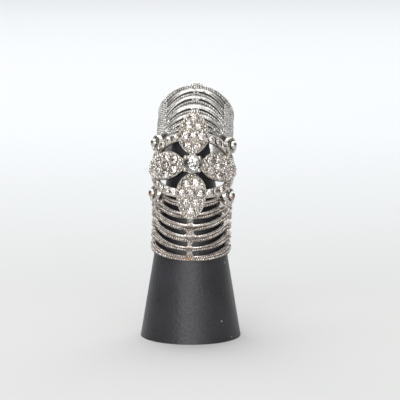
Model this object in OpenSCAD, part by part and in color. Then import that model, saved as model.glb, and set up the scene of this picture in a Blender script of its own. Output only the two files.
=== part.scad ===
// Hinged armour finger ring with a four-petal stone flower, on its cone stand.
// Millimetres. The origin is the centre of the stand's base.
// The ring faces -Y, its two hinges run along X and it bends back towards +Y.

/* [Stand] */
// Radius of the cone at its base
stand_base_r = 13.1; // [12.8:0.1:13.1]
// Height of the cone
stand_h = 52.4; // [50:0.1:52.4]
// Radius that the cone loses for each millimetre of height
stand_taper = 0.165; // [0.165:0.001:0.18]

/* [Cages] */
// Height of the lower cage's rim above the floor
ring_base_z = 21.5; // [21.5:0.1:22.5]
// Outer radius of the lower cage
lower_r = 10.45; // [10.4:0.01:10.5]
// Wall of the lower cage
lower_wall = 0.75; // [0.6:0.05:0.75]
// Outer radius of the upper cage
upper_r = 9.9; // [9.8:0.05:10.1]
// Wall of the upper cage
upper_wall = 0.75; // [0.6:0.05:0.9]
// Height of a cage's hinge above its rim
hinge_h = 16.4; // [16.2:0.1:16.6]
// Distance of the hinges in front of the ring's own axis
hinge_forward = 5; // [4.9:0.05:5.1]
// Height of the slots between the lower cage's ribs
lower_slot_h = 1.35; // [0.9:0.05:1.4]
// Height of the slots between the upper cage's ribs
upper_slot_h = 0.8; // [0.7:0.05:1.15]

/* [Roundel] */
// Radius of the inside of the roundel
roundel_r = 10.6; // [10.6:0.05:10.7]
// Thickness of the frame
frame_t = 0.75; // [0.7:0.05:0.9]
// Thickness of the petals
petal_t = 0.95; // [0.9:0.05:1.1]
// Distance between the two hinges
hinge_gap = 13.2; // [13:0.1:13.4]
// Length of a petal
petal_l = 11.5; // [11:0.1:12]
// Half the width of a petal
petal_w = 3.7; // [3.65:0.05:3.8]
// Width of the band round the oval opening
band_w = 2.35; // [2.2:0.05:2.4]

/* [Stones] */
// Radius of the petals' stones
petal_stone_r = 1.05; // [0.9:0.05:1.1]
// Radius of the frame's stones
frame_stone_r = 0.88; // [0.8:0.02:0.9]
// Radius of the stone in the middle
centre_stone_r = 2.1; // [1.9:0.05:2.1]

/* [Pose] */
// Lean of the roundel back from the lower cage
roundel_lean = 18.6; // [10:0.1:18.6]
// Lean of the upper cage back from the roundel
upper_lean = 31.6; // [20:0.1:33]
// Sideways lean of the ring on its stand
ring_roll = 1.6; // [0:0.1:2]

/* [Hidden] */
$fn = 96;

// Columns of the rib table: height of the slot at the front, its tilt,
// the angle from the front at which it ends and half the width of its centre bridge.
SLOT_Z = 0;
SLOT_TILT = 1;
SLOT_END = 2;
SLOT_BRIDGE = 3;
lower_slots = [
    [13.0, 25.4, 45, 0.6],
    [10.1, 24.0, 50, 0.6],
    [7.15, 26.5, 55, 0.95],
    [4.2, 26.0, 63, 0.55],
    [1.85, 17.0, 65, 0.7]
];
upper_slots = [
    [13.6, 24.0, 30, 0.6],
    [11.4, 34.0, 46, 0.6],
    [8.4, 39.0, 44, 0.9],
    [4.9, 44.0, 51, 0.8],
    [2.3, 38.0, 49, 0.7]
];
// Columns of the side slots: height beside the axis and slope towards the back.
SIDE_Z = 0;
SIDE_TILT = 1;
side_slots = [[11.9, -20], [9.2, -14], [6.6, -7], [4.0, 0]];
side_slot_from = 74;
side_slot_to = 120;
rim_z = -0.15;
rim_tilt = 7;
top_z = 15.1;
top_tilt = 24;
back_tilt = -26.5;
back_rise = 0.4;

// Hinges: a flat ear on the cage, a flat lug on the roundel outside it, and a ball-ended pin.
ear_in_x = 8.1;
ear_out_x = 8.8;
ear_root = 0.5;
ear_r = 1.6;
lower_ear_reach = 10.15;
upper_ear_reach = 10;
lug_in_x = 8.85;
lug_out_x = 9.9;
lug_reach_r = 11.6;
cut_in_x = 5;
cut_out_x = 13;
arm_r = 2;
notch_r = 2.4;
notch_rim_w = 1;
notch_rim_h = 0.45;
notch_rim_below = 1;
pin_r = 0.5;
pin_hole_r = 0.55;
ball_r = 1.15;
ball_x = 10.1;
ball_seat_x = 9.95;
ball_seat_r = 1.35;
rivet_r = 0.9;
rivet_x = 7.6;
rivet_gap = 0.05;
rivet_seat_r = 1.15;

// Roundel: half sizes of the oval's outer edge, measured along the curved surface.
oval_a = 14.2;
oval_b = 8.8;
oval_steps = 32;
petal_steps = 12;
petal_from = 2.5;
petal_widest = 5;
petal_neck = 0.5;
inner_power = 3.6;
outer_power = 2.5;
cup_r = 2.5;
cup_h = 1.75;
cup_sink = 0.1;
tip_stub = 0.7;
root_l = 1;
seam = 0.5;
side_middle = 43;
roundel_reach = 20;

// Columns of a petal's stones: distance along the petal and to the side of its middle line.
STONE_U = 0;
STONE_V = 1;
petal_seats = [[2.4, -1.22], [2.4, 1.22], [4.95, -2.38], [4.95, 0], [4.95, 2.38],
    [7.45, -1.25], [7.45, 1.25], [9.8, 0]];
petal_turns = [0, 90, 180, 270];
// The frame's stones stand at equal steps along the oval, five in each quarter.
quarter_stones = 5;
quarter_from = 22.1;
quarter_step = 9.4;
quarter_stretch = 0.42;

seat_depth = 0.5;
seat_gap = 0.05;
stone_sides = 8;
centre_sides = 12;
crown_share = 0.42;
table_share = 0.58;
culet_share = 0.45;
girdle_h = 0.12;
stand_edge = 0.5;
sector_steps = 6;
disc_sides = 48;
seat_sides = 24;
far = 80;

function arc_deg(s, r) = s / r * 180 / PI;
function stand_r(z) = stand_base_r - stand_taper * z;
centre_seat_r = roundel_r + cup_sink + cup_h - 2 * seat_depth;

// Half the width of a petal at a distance u from its inner end.
function petal_half(u) = u < petal_widest
    ? petal_neck + (petal_w - petal_neck) * (1 - pow((petal_widest - u) / petal_widest, inner_power))
    : petal_neck + (petal_w - petal_neck)
        * (1 - pow((u - petal_widest) / (petal_l - petal_widest), outer_power));

// Outline of a petal along its own length, from before its inner end to past its tip.
function petal_outline() = let (n = petal_steps)
    concat([[-root_l, petal_neck]], [for (i = [0 : n]) let (u = petal_l * i / n) [u, petal_half(u)]],
        [[petal_l + tip_stub, petal_neck], [petal_l + tip_stub, -petal_neck]],
        [for (i = [n : -1 : 0]) let (u = petal_l * i / n) [u, -petal_half(u)]], [[-root_l, -petal_neck]]);

// A point of a petal turned to its place: [distance round the ring, height].
function petal_point(p, turn) = let (u = petal_from + p[0])
    [u * cos(turn) - p[1] * sin(turn), u * sin(turn) + p[1] * cos(turn)];

// The point seen straight along the direction "middle" degrees round from the front.
function seen(p, middle, r) = [r * sin(arc_deg(p[0], r) - middle), p[1]];

module tube(r_in, r_out, z0, z1) {
    difference() {
        translate([0, 0, z0]) cylinder(r = r_out, h = z1 - z0);
        translate([0, 0, z0 - 1]) cylinder(r = r_in, h = z1 - z0 + 2);
    }
}

// A wedge round the axis between two angles from the front.
module sector(a0, a1) {
    translate([0, 0, -far / 2]) linear_extrude(far)
        polygon(concat([[0, 0]], [for (i = [0 : sector_steps])
            let (a = a0 + (a1 - a0) * i / sector_steps) [far * sin(a), -far * cos(a)]]));
}

// A flat slab of height h whose middle passes through (y, z) and rises by tilt towards the back.
module slab(y, z, tilt, h) {
    translate([0, y, z]) rotate([tilt, 0, 0]) translate([-far / 2, -far / 2, -h / 2]) cube([far, far, h]);
}

// A cylinder along X between two distances from the middle, on the hinge's axis.
module hinge_disc(side, r, x0, x1, z) {
    translate([side * x0, -hinge_forward, z]) rotate([0, side * 90, 0])
        cylinder(r = r, h = x1 - x0, $fn = disc_sides);
}

module front_slot(slot, r, h) {
    difference() {
        intersection() {
            slab(-r, slot[SLOT_Z], slot[SLOT_TILT], h);
            sector(-slot[SLOT_END], slot[SLOT_END]);
        }
        translate([-slot[SLOT_BRIDGE], -far / 2, -far / 2])
            cube([2 * slot[SLOT_BRIDGE], far, far]);
    }
}

module side_slot(slot, side, h) {
    intersection() {
        slab(0, slot[SIDE_Z], slot[SIDE_TILT], h);
        sector(side * side_slot_from, side * side_slot_to);
    }
}

// The tube of one cage between its rim, its sloping front top and its sloping back top.
module cage_wall(r, wall) {
    difference() {
        tube(r - wall, r, rim_z - 1, hinge_h + 3);
        slab(-r, rim_z - far / 2 / cos(rim_tilt), rim_tilt, far);
        slab(-r, top_z + far / 2 / cos(top_tilt), top_tilt, far);
        slab(-hinge_forward, hinge_h + back_rise + far / 2 / cos(back_tilt), back_tilt, far);
    }
}

// The raised U-shaped rim below a hinge notch.
module notch_rim(side, r, wall) {
    intersection() {
        tube(r - wall, r + notch_rim_h, 0, hinge_h);
        difference() {
            hinge_disc(side, notch_r + notch_rim_w, cut_in_x, cut_out_x, hinge_h);
            hinge_disc(side, notch_r, cut_in_x - 1, cut_out_x + 1, hinge_h);
        }
        translate([-far / 2, -far / 2, 0]) cube([far, far, hinge_h - notch_rim_below]);
    }
}

// One cage with its rim at z = 0: ribs, bridges, U-shaped notches and hinge ears.
// Inside the notches nothing stands out past the radius "reach", so that the roundel swings clear.
module cage(r, wall, reach, slots, slot_h) {
    difference() {
        union() {
            difference() {
                union() {
                    cage_wall(r, wall);
                    for (side = [-1, 1]) notch_rim(side, r, wall);
                }
                for (slot = slots) front_slot(slot, r, slot_h);
                for (side = [-1, 1]) for (slot = side_slots) side_slot(slot, side, slot_h);
            }
            for (side = [-1, 1]) hinge_disc(side, ear_r, ear_in_x - ear_root, ear_out_x, hinge_h);
        }
        for (side = [-1, 1]) {
            difference() {
                hinge_disc(side, notch_r, cut_in_x, cut_out_x, hinge_h);
                cylinder(r = reach, h = far);
            }
            hinge_disc(side, notch_r, ear_out_x, cut_out_x, hinge_h);
            hinge_disc(side, rivet_seat_r, cut_in_x, ear_in_x, hinge_h);
            hinge_disc(side, pin_hole_r, cut_in_x, cut_out_x, hinge_h);
        }
    }
}

// One hinge pin on the axis at height z: inner rivet head, shank and the outer part of a ball.
module pin(side, z) {
    translate([0, -hinge_forward, z]) rotate([0, side * 90, 0]) rotate_extrude($fn = disc_sides) {
        translate([0, rivet_x]) square([rivet_r, ear_in_x - rivet_gap - rivet_x]);
        translate([0, rivet_x]) square([pin_r, ball_x - rivet_x]);
        intersection() {
            translate([0, ball_x]) circle(r = ball_r, $fn = disc_sides);
            translate([0, ball_seat_x]) square(2 * ball_r);
        }
    }
}

// A disc standing out of the roundel's surface at [distance round the ring, height].
module on_surface(place, r) {
    rotate([0, 0, arc_deg(place[0], roundel_r + frame_t)]) translate([0, -r, place[1]])
        rotate([90, 0, 0]) children();
}

// A flat outline in [distance round the ring, height] points, pressed through the curved wall.
module pressed(points, middle, thickness) {
    intersection() {
        tube(roundel_r, roundel_r + thickness, -roundel_reach, roundel_reach);
        rotate([0, 0, middle]) rotate([90, 0, 0]) linear_extrude(far / 2)
            polygon([for (p = points) seen(p, middle, roundel_r + thickness / 2)]);
    }
}

// Half of the oval frame, just past the middle line.
function oval_half(side) = let (n = oval_steps, a = oval_a, b = oval_b)
    concat([[-side * seam, b]], [for (i = [0 : n]) let (t = 180 * i / n) [side * a * sin(t), b * cos(t)]],
        [[-side * seam, -b], [-side * seam, -(b - band_w)]],
        [for (i = [n : -1 : 0]) let (t = 180 * i / n) [side * (a - band_w) * sin(t), (b - band_w) * cos(t)]],
        [[-side * seam, b - band_w]]);

function petal_middle(turn) = cos(turn) * side_middle;

// Places of all stones on the roundel, as [distance round the ring, height].
function petal_places() = [for (turn = petal_turns) for (s = petal_seats)
    petal_point([s[STONE_U], s[STONE_V]], turn)];
function quarter_angle(i) = quarter_from + quarter_step * i + quarter_stretch * i * i;
function frame_places() = [for (sx = [-1, 1]) for (sz = [-1, 1]) for (i = [0 : quarter_stones - 1])
    [sx * (oval_a - band_w / 2) * sin(quarter_angle(i)), sz * (oval_b - band_w / 2) * cos(quarter_angle(i))]];

module roundel_metal() {
    difference() {
        union() {
            for (side = [-1, 1]) pressed(oval_half(side), side * side_middle, frame_t);
            for (turn = petal_turns)
                pressed([for (p = petal_outline()) petal_point(p, turn)], petal_middle(turn), petal_t);
            on_surface([0, 0], roundel_r + cup_sink) cylinder(r = cup_r, h = cup_h);
            for (side = [-1, 1]) for (end = [-1, 1]) {
                intersection() {
                    tube(roundel_r, roundel_r + frame_t, -roundel_reach, roundel_reach);
                    hinge_disc(side, arm_r, cut_in_x, cut_out_x, end * hinge_gap / 2);
                }
                intersection() {
                    hinge_disc(side, ear_r, lug_in_x, lug_out_x, end * hinge_gap / 2);
                    translate([0, 0, -roundel_reach]) cylinder(r = lug_reach_r, h = far);
                }
            }
        }
        for (place = petal_places())
            on_surface(place, roundel_r + petal_t - seat_depth)
                cylinder(r = petal_stone_r + seat_gap, h = cup_h, $fn = seat_sides);
        for (place = frame_places())
            on_surface(place, roundel_r + frame_t - seat_depth)
                cylinder(r = frame_stone_r + seat_gap, h = cup_h, $fn = seat_sides);
        on_surface([0, 0], centre_seat_r) cylinder(r = centre_stone_r + seat_gap, h = cup_h);
        for (side = [-1, 1]) for (end = [-1, 1]) {
            hinge_disc(side, pin_hole_r, cut_in_x, cut_out_x, end * hinge_gap / 2);
            hinge_disc(side, ball_seat_r, lug_out_x, cut_out_x, end * hinge_gap / 2);
        }
    }
}

// A round cut stone standing on z = 0: short pavilion, girdle, eight crown facets and a table.
module stone(r, sides) {
    pavilion = seat_depth - girdle_h;
    girdle_top = pavilion + girdle_h;
    rotate([0, 0, 180 / sides]) rotate_extrude($fn = sides)
        polygon([[0, 0], [r * culet_share, 0], [r, pavilion], [r, girdle_top],
            [r * table_share, girdle_top + r * crown_share], [0, girdle_top + r * crown_share]]);
}

// Frames of the three hinged parts, each child given in its own upright frame.
module on_ring() {
    translate([0, 0, ring_base_z]) rotate([0, ring_roll, 0]) children();
}

module on_roundel() {
    on_ring() translate([0, -hinge_forward, hinge_h]) rotate([-roundel_lean, 0, 0])
        translate([0, hinge_forward, hinge_gap / 2]) children();
}

// The upper cage's frame is the lower one's mirror image, with its hinge at the roundel's upper hinge.
module on_upper() {
    on_roundel() translate([0, -hinge_forward, hinge_gap / 2]) rotate([-upper_lean, 0, 0])
        translate([0, hinge_forward, 0]) mirror([0, 0, 1]) translate([0, 0, -hinge_h]) children();
}

module stand() {
    top_r = stand_r(stand_h);
    color([0.16, 0.16, 0.17]) rotate_extrude() difference() {
        polygon([[0, 0], [stand_base_r, 0], [top_r, stand_h], [0, stand_h]]);
        difference() {
            translate([top_r - stand_edge, stand_h - stand_edge]) square(2 * stand_edge);
            translate([top_r - stand_edge, stand_h - stand_edge]) circle(r = stand_edge, $fn = 32);
        }
    }
}

module lower_cage() {
    color([0.72, 0.7, 0.68]) on_ring()
        cage(lower_r, lower_wall, lower_ear_reach, lower_slots, lower_slot_h);
}

module upper_cage() {
    color([0.74, 0.73, 0.71]) on_upper()
        cage(upper_r, upper_wall, upper_ear_reach, upper_slots, upper_slot_h);
}

module lower_pin(side) {
    color([0.8, 0.78, 0.75]) on_ring() pin(side, hinge_h);
}

module lower_pin_left() {
    lower_pin(-1);
}

module lower_pin_right() {
    lower_pin(1);
}

module upper_pin(side) {
    color([0.8, 0.78, 0.75]) on_upper() pin(side, hinge_h);
}

module upper_pin_left() {
    upper_pin(-1);
}

module upper_pin_right() {
    upper_pin(1);
}

module roundel() {
    color([0.7, 0.68, 0.66]) on_roundel() roundel_metal();
}

module petal_stones() {
    color([0.88, 0.87, 0.86]) on_roundel() for (place = petal_places())
        on_surface(place, roundel_r + petal_t - seat_depth + seat_gap) stone(petal_stone_r, stone_sides);
}

module frame_stones() {
    color([0.9, 0.89, 0.88]) on_roundel() for (place = frame_places())
        on_surface(place, roundel_r + frame_t - seat_depth + seat_gap) stone(frame_stone_r, stone_sides);
}

module centre_stone() {
    color([0.93, 0.93, 0.92]) on_roundel()
        on_surface([0, 0], centre_seat_r + seat_gap) stone(centre_stone_r, centre_sides);
}

stand();
lower_cage();
lower_pin_left();
lower_pin_right();
roundel();
petal_stones();
frame_stones();
centre_stone();
upper_cage();
upper_pin_left();
upper_pin_right();
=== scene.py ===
import bpy
import random
from functools import partial
from math import acos, asin, ceil, cos, hypot, pi, radians, sin, sqrt, tan
import bmesh
import numpy as np
from mathutils import Matrix, Vector


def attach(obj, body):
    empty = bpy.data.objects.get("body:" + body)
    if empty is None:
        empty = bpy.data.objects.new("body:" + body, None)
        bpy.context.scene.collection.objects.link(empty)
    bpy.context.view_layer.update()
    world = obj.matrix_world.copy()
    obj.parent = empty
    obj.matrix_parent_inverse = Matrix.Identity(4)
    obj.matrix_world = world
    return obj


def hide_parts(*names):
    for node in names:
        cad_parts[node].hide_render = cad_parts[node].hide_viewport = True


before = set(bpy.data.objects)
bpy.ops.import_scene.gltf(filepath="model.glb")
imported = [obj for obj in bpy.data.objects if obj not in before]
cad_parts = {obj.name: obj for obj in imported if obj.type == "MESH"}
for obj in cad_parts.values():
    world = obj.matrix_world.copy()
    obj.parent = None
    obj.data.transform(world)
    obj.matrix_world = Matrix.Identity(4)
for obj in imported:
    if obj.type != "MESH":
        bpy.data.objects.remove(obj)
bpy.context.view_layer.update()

# Sizes are in millimetres in each part's own upright frame, as in the CAD.
mm = 0.001
ringPose = {
    "baseHeight": 21.5,  # rim of the lower cage above the floor
    "hingeHeight": 16.4,  # hinge above a cage's rim
    "hingeForward": 5,  # hinges in front of the ring's own axis
    "hingeGap": 13.2,  # between the two hinges
    "roundelLean": 18.6,  # degrees, back from the lower cage
    "upperLean": 31.6,  # degrees, back from the roundel
    "roll": 1.6,  # degrees, sideways lean on the cone
}


def shift(x, y, z):
    return Matrix.Translation((x, y, z))


def turn(degrees, axis):
    return Matrix.Rotation(radians(degrees), 4, axis)


hingeY, hingeZ, halfGap = -ringPose["hingeForward"], ringPose["hingeHeight"], ringPose["hingeGap"] / 2
ringFrame = shift(0, 0, ringPose["baseHeight"]) @ turn(ringPose["roll"], "Y")
roundelFrame = (ringFrame @ shift(0, hingeY, hingeZ) @ turn(-ringPose["roundelLean"], "X")
                @ shift(0, -hingeY, halfGap))
# The upper cage is the lower one's mirror image, hung from the roundel's upper hinge.
upperFrame = (roundelFrame @ shift(0, hingeY, halfGap) @ turn(-ringPose["upperLean"], "X")
              @ shift(0, -hingeY, 0) @ Matrix.Scale(-1, 4, (0, 0, 1)) @ shift(0, 0, -hingeZ))

# Camera, at the photograph's angle: a long lens, far off and a little above, tilted down at the ring.
camera = {
    "distance": 600, "height": 128.63, "azimuth": 1.9, "pitch": 8.81, "focalPixels": 2334, "framePixels": 400,
    "axisColumn": 190.7,  # picture column of the cone's axis
}


def addObject(name, data):
    added = bpy.data.objects.new(name, data)
    bpy.context.scene.collection.objects.link(added)
    return added


data = bpy.data.cameras.new("camera")
data.sensor_fit = "HORIZONTAL"
data.sensor_width = 36
data.lens = data.sensor_width * camera["focalPixels"] / camera["framePixels"]
data.shift_x = (camera["framePixels"] / 2 - camera["axisColumn"]) / camera["framePixels"]
data.clip_start, data.clip_end = 0.02, 20
eye = addObject("camera", data)
angle = radians(camera["azimuth"])
eye.location = Vector((sin(angle) * camera["distance"], -cos(angle) * camera["distance"], camera["height"])) * mm
eye.rotation_euler = (radians(90 - camera["pitch"]), 0, angle)
bpy.context.scene.camera = eye
print("camera set")


# Adds a node and returns one output. Inputs are values or links, by name or number or in order: Map Range's are
# value, from min, from max, to min, to max. A kind without a prefix is a shader node.
def addNode(tree, kind, inputs=(), output=0, **settings):
    node = tree.nodes.new(kind if "Node" in kind else "ShaderNode" + kind)
    for key, value in settings.items():
        setattr(node, key, value)
    for key, value in inputs.items() if isinstance(inputs, dict) else enumerate(inputs):
        if isinstance(value, bpy.types.NodeSocket):
            tree.links.new(value, node.inputs[key])
        else:
            node.inputs[key].default_value = value
    return node.outputs[output] if node.outputs else None


def hexColour(code):
    channels = [int(code[i:i + 2], 16) / 255 for i in (1, 3, 5)]
    linear = [c / 12.92 if c <= 0.04045 else ((c + 0.055) / 1.055) ** 2.4 for c in channels]
    return (*linear, 1)


# Each colour lies over the ones before it, by its factor.
def layColours(add, base, layers):
    colour = hexColour(base)
    for factor, code in layers:
        colour = add("Mix", {0: factor, 6: colour, 7: hexColour(code)}, output=2, data_type="RGBA")
    return colour


# Inputs of a texture on Object coordinates, for features of this size.
def textureAt(place, sizeMm, **others):
    return {"Vector": place, "Scale": 1 / (sizeMm * mm), **others}


def newMaterial(name):
    material = bpy.data.materials.new(name)
    material.use_nodes = True
    material.node_tree.nodes.clear()
    add = partial(addNode, material.node_tree)
    return material, add, add("TexCoord", output="Object")


def endMaterial(material, colour, rough, others):
    shader = addNode(material.node_tree, "BsdfPrincipled", {"Base Color": colour, "Roughness": rough, **others})
    addNode(material.node_tree, "OutputMaterial", {"Surface": shader})
    return material


# Cast zinc alloy with a silver-tone plating: bright on the worn crests, dull in patches, and darkened by a point
# attribute that is patina in the hollows and painted shade in slots, recesses and inner faces.
# Its grain and its spots of tarnish are drawn coarser than they are, so that they show.
plating = {
    "bright": "#e8e4de", "dull": "#c6bfb5", "tarnish": "#6b655a", "hollowAndShade": "#2a2621",
    "patchMm": 2.6, "mottleMm": 0.5,
    "mottle": 0.62,  # how strongly the tarnish shows in its spots
    "grainMm": 0.16, "grainDepthMm": 0.02, "grain": 0.6, "polish": 0.16, "dullPolish": 0.34,
    "grimeAndShadePolish": 0.3,  # added to the roughness where the grime and painted shade lie
}
spotEdge = {"ragged": 0.35, "from": 0.7, "to": 1.1}


# What plating and lacquer share: patches that differ in colour and polish, and a fine grain in relief.
def startSurface(name, p):
    material, add, place = newMaterial(name)
    patches = add("TexNoise", textureAt(place, p["patchMm"], Detail=3))
    grain = add("TexNoise", textureAt(place, p["grainMm"], Detail=2))
    dull = add("MapRange", [patches, 0.35, 0.65])
    rough = add("MapRange", [patches, 0.3, 0.7, p["polish"], p["dullPolish"]])
    bump = add("Bump", {"Height": grain, "Distance": p["grainDepthMm"] * mm, "Strength": p["grain"]})
    return material, add, place, dull, grain, rough, bump


def makePlating(name, p, spots=()):
    material, add, place, dull, grain, rough, bump = startSurface(name, p)
    mottling = add("TexNoise", textureAt(place, p["mottleMm"], Detail=1))
    tarnish = add("MapRange", [mottling, 0.5, 0.66, 0, p["mottle"]])
    broken = add("MapRange", [grain, 0.3, 0.6, 1, 0.55])
    # The point attribute darkens the plating: patina in the hollows and painted shade in slots, recesses and inner
    # faces.
    grimeAndShade = add("Math", [add("Attribute", output="Fac", attribute_name="grimeAndShade"), broken], operation="MULTIPLY")
    layers = [(dull, p["dull"]), (tarnish, p["tarnish"]), (grimeAndShade, p["hollowAndShade"])]
    layers += [(spotMask(add, place, grain, *where), colour) for colour, *where in spots]
    rough = add("Math", [grimeAndShade, p["grimeAndShadePolish"], rough], operation="MULTIPLY_ADD")
    return endMaterial(material, layColours(add, p["bright"], layers), rough, {"Normal": bump, "Metallic": 1})


# Where the plating is rubbed through: a soft round patch with a ragged edge.
def spotMask(add, place, grain, strength, centre, reach):
    place = add("VectorMath", [place, ringFrame @ Vector(centre) * mm], operation="SUBTRACT")
    place = add("VectorMath", [place, Vector(reach) * mm], operation="DIVIDE")
    distance = add("VectorMath", [place], output="Value", operation="LENGTH")
    ragged = add("MapRange", [grain, 0.3, 0.7, -spotEdge["ragged"], spotEdge["ragged"]])
    edge = add("Math", [distance, ragged])
    return add("MapRange", [edge, spotEdge["from"], spotEdge["to"], strength, 0])


# Rubbed through to the copper: colour, strength, place on the ring, reach.
wornSpots = {
    "rim": ("#cfa780", 0.6, (-0.2, -10.45, 0.45), (1, 1, 0.45)),
    "leftTip": ("#b07b52", 0.85, (-11.1, -5.7, 16.25), (0.8, 0.8, 0.75)),
    "rightTip": ("#a8685a", 0.8, (11, -5.8, 16.1), (0.8, 0.8, 0.75)),
}
# The copper also warms the whole lower cage, which is rubbed most, and hardly shows in the upper one.
rubbedPlating = dict(plating, bright="#eae3dd", dull="#cabfb7", tarnish="#6f655d")
freshPlating = dict(plating, bright="#e4e2df", dull="#c3c0bb", tarnish="#69655e")
castMetal = {
    "base": makePlating("zincPlateRubbed", rubbedPlating, [wornSpots["rim"]]),
    "middle": makePlating("zincPlateAntiqued", plating),
    "tip": makePlating("zincPlateFresh", freshPlating),
}
# The turned pins are smoother and brighter than the castings.
pinPlating = dict(plating, bright="#dcd9d5", dull="#bdb8b0", patchMm=1.2, mottle=0.2, polish=0.1, dullPolish=0.22)
platedPins = makePlating("zincPlatePolished", pinPlating, [wornSpots["leftTip"], wornSpots["rightTip"]])

# Machine-cut glass on a foil back: the foil shows through so fully that every facet glints like a mirror,
# and the ripples stand for the back's own facets.
foil = {"light": "#e3dbd6", "deep": "#c6bdb7", "shadeMm": 1.9, "rippleMm": 0.55, "rippleDepthMm": 0.16, "polish": 0.1}


def makeFoil(name, p):
    material, add, place = newMaterial(name)
    shade = add("TexNoise", textureAt(place, p["shadeMm"], Detail=1))
    deep = add("MapRange", [shade, 0.38, 0.62])
    ripples = add("TexVoronoi", textureAt(place, p["rippleMm"]))
    bump = add("Bump", {"Height": ripples, "Distance": p["rippleDepthMm"] * mm})
    colour = layColours(add, p["light"], [(deep, p["deep"])])
    return endMaterial(material, colour, p["polish"], {"Normal": bump, "Metallic": 1})


foiledStone = makeFoil("foiledCrystal", foil)
centreFoil = makeFoil("foiledCentre", dict(foil, light="#cecac7", deep="#a39f9c", rippleMm=1.3, rippleDepthMm=0.4))

# Moulded resin with a satin black lacquer: a soft broad sheen, faint orange peel and a little dust.
# The peel is drawn coarser and the dust larger than they are, so that they show.
lacquer = {
    "black": "#26262a", "dull": "#2e2e33", "dust": "#a9a9ae", "patchMm": 9,
    "grainMm": 0.8,  # the peel
    "grainDepthMm": 0.14, "grain": 0.8,
    "dustCellMm": 3.12,  # about one speck's room
    "dustSize": 0.065,  # of its room
    "dustFree": 0.45,  # share of the rooms without a speck
    "polish": 0.36, "dullPolish": 0.46,
}


def makeLacquer(name, p):
    material, add, place, dull, peel, rough, bump = startSurface(name, p)
    cells = add("TexVoronoi", textureAt(place, p["dustCellMm"]))
    speck = add("Math", [cells, p["dustSize"]], operation="LESS_THAN")
    chance = add("SeparateColor", [cells.node.outputs["Color"]])
    chosen = add("Math", [chance, p["dustFree"]], operation="GREATER_THAN")
    dust = add("Math", [speck, chosen], operation="MULTIPLY")
    colour = layColours(add, p["black"], [(dull, p["dull"]), (dust, p["dust"])])
    return endMaterial(material, colour, rough, {"Normal": bump})


satinBlack = makeLacquer("satinBlackLacquer", lacquer)
print("materials made")


class Shape:
    # Points, faces and how much grime and painted shade each point holds, gathered for one piece.
    def __init__(self):
        self.points = []
        self.faces = []
        self.grimeAndShade = []

    def add(self, points, faces, grimeAndShade):
        start = len(self.points)
        self.points += points
        self.faces += [tuple(start + i for i in f) for f in faces]
        self.grimeAndShade += grimeAndShade if isinstance(grimeAndShade, list) else [grimeAndShade] * len(points)


def newMesh(name, points, faces=(), edges=()):
    mesh = bpy.data.meshes.new(name)
    mesh.from_pydata(points, edges, faces)
    return mesh


def addFloats(mesh, name, values):
    mesh.attributes.new(name, "FLOAT", "POINT").data.foreach_set("value", values)


# What "finish" holds: material, body, slot, nodes, sharp angle.
def makePiece(name, shape, place, *finish):
    faces = [f[::-1] for f in shape.faces] if place.determinant() < 0 else shape.faces
    mesh = newMesh(name, [place @ Vector(p) * mm for p in shape.points], faces)
    # The point attribute holds grime and painted shade.
    addFloats(mesh, "grimeAndShade", shape.grimeAndShade)
    finishPiece(name, mesh, *finish)


def finishPiece(name, mesh, material, body, slotName, nodes, sharpAngle=38):
    if not mesh.materials:
        mesh.materials.append(material)
    mesh.validate()
    mesh.shade_smooth()
    mesh.set_sharp_from_angle(angle=radians(sharpAngle))
    piece = addObject(name, mesh)
    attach(piece, body)
    if nodes:
        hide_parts(*nodes)
    print("made", name, len(mesh.polygons), "faces")


# Faces of a tube through rings of points: capped at both ends, or looped back on itself.
def tubeFaces(rows, width, looped):
    faces = []
    for i in range(rows if looped else rows - 1):
        n = (i + 1) % rows * width
        for j in range(width):
            m = (j + 1) % width
            faces.append((i * width + j, n + j, n + m, i * width + m))
    if not looped:
        faces += [tuple(range(width)), tuple(reversed(range((rows - 1) * width, rows * width)))]
    return faces


def flipped(faces):
    return [(f[0],) + f[:0:-1] for f in faces]


def around(count):
    return [2 * pi * i / count for i in range(count)]


# A solid of revolution about the line through "centre" along "axis", from [distance along it, radius] pairs.
def turned(centre, axis, profile, sides=32):
    axis = Vector(axis).normalized()
    across = axis.orthogonal().normalized()
    up = axis.cross(across)
    spokes = [across * cos(a) + up * sin(a) for a in around(sides)]
    points = [Vector(centre) + axis * along + spoke * radius for along, radius in profile for spoke in spokes]
    return points, flipped(tubeFaces(len(profile), sides, False))


# A profile of [sideways, outwards] points carried along a path, with "normals" pointing outwards.
def swept(path, normals, profile, closed):
    longer = [path[-1], *path, path[0]] if closed else [path[0], *path, path[-1]]
    points = []
    for before, here, after, normal in zip(longer, path, longer[2:], normals):
        side = (after - before).normalized().cross(normal).normalized()
        points += [here + side * s + normal * n for s, n in profile]
    return points, tubeFaces(len(path), len(profile), closed)


def smoothStep(low, high, value):
    t = min(max((value - low) / (high - low), 0), 1)
    return t * t * (3 - 2 * t)


# A place round the upright axis, "angle" (in radians) from the front.
def polar(angle, r, z=0):
    return Vector((r * sin(angle), -r * cos(angle), z))


# Across a rib, from the rim's side to the flower's side: share of its width, depth below the surface, grime and painted
# shade (darkest at the slot walls and grooves).
ribProfile = [
    (0, 0.22, 0.8), (0.02, 0.12, 0.2), (0.05, 0.16, 0.6), (0.1, 0.28, 0.95), (0.26, 0.32, 1), (0.42, 0.28, 0.95),
    (0.46, 0.14, 0.5), (0.49, 0.08, 0.1), (0.52, 0.12, 0.4), (0.55, 0.26, 1), (0.59, 0.12, 0.5), (0.65, 0.02, 0),
    (0.78, 0, 0), (0.9, 0.02, 0), (0.95, 0.06, 0), (0.98, 0.12, 0.2), (1, 0.2, 0.8),
]
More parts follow.
